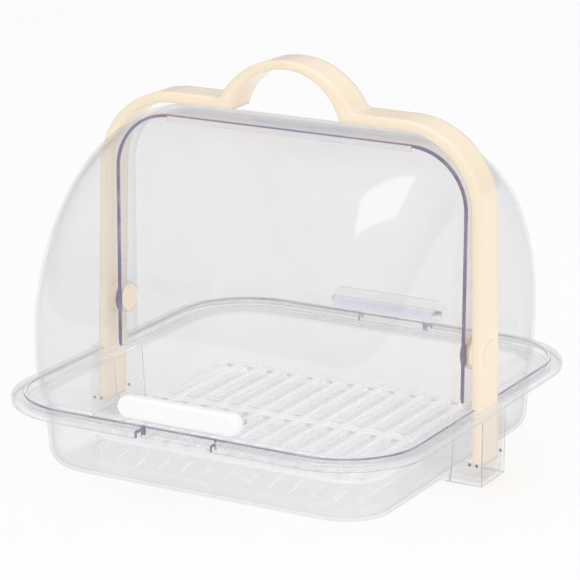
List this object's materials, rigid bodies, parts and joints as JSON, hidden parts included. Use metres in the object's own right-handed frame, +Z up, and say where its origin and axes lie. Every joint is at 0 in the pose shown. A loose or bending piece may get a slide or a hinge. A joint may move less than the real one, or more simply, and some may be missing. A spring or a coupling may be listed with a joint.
{
  "type": "roll-top food box",
  "caption": "Clear food box with a raised drain rack, two quarter-dome lids that roll over each other on side pivots, and a lift-off carrying handle frame.",
  "frame": {"origin": "middle of the face the tray stands on", "axes": "+X to the right along the front edge, +Y to the back, +Z up; the grip of the outer lid is on the -Y side"},
  "size_m": [0.333, 0.347, 0.2943],
  "materials": {
    "clear_tray": "gloss",
    "clear_rack": "satin",
    "clear_lid": "gloss",
    "white_grip": "gloss",
    "cream_frame": "gloss"
  },
  "bodies": {
    "tray": {"base_tray": "clear_tray"},
    "rack": {"drain_rack": "clear_rack"},
    "handle": {"handle_frame": "cream_frame", "left_pivot_pin": "cream_frame", "right_pivot_pin": "cream_frame", "left_pivot_cap": "cream_frame", "right_pivot_cap": "cream_frame"},
    "outer_lid": {"front_lid": "clear_lid", "front_grip": "white_grip"},
    "inner_lid": {"rear_lid": "clear_lid", "rear_grip": "white_grip"}
  },
  "joints": [
    {"name": "rack_lift", "type": "slide", "parent": "tray", "child": "rack", "axis": [0, 0, 1], "range_m": [0, 0.05]},
    {"name": "handle_lift", "type": "slide", "parent": "tray", "child": "handle", "axis": [0, 0, 1], "range_m": [0, 0.05]},
    {"name": "front_lid_roll", "type": "hinge", "parent": "handle", "child": "outer_lid", "pos_m": [0, 0, 0.094], "axis": [-1, 0, 0], "range_deg": [0, 43]},
    {"name": "rear_lid_roll", "type": "hinge", "parent": "handle", "child": "inner_lid", "pos_m": [0, 0, 0.094], "axis": [1, 0, 0], "range_deg": [0, 43]}
  ]
}
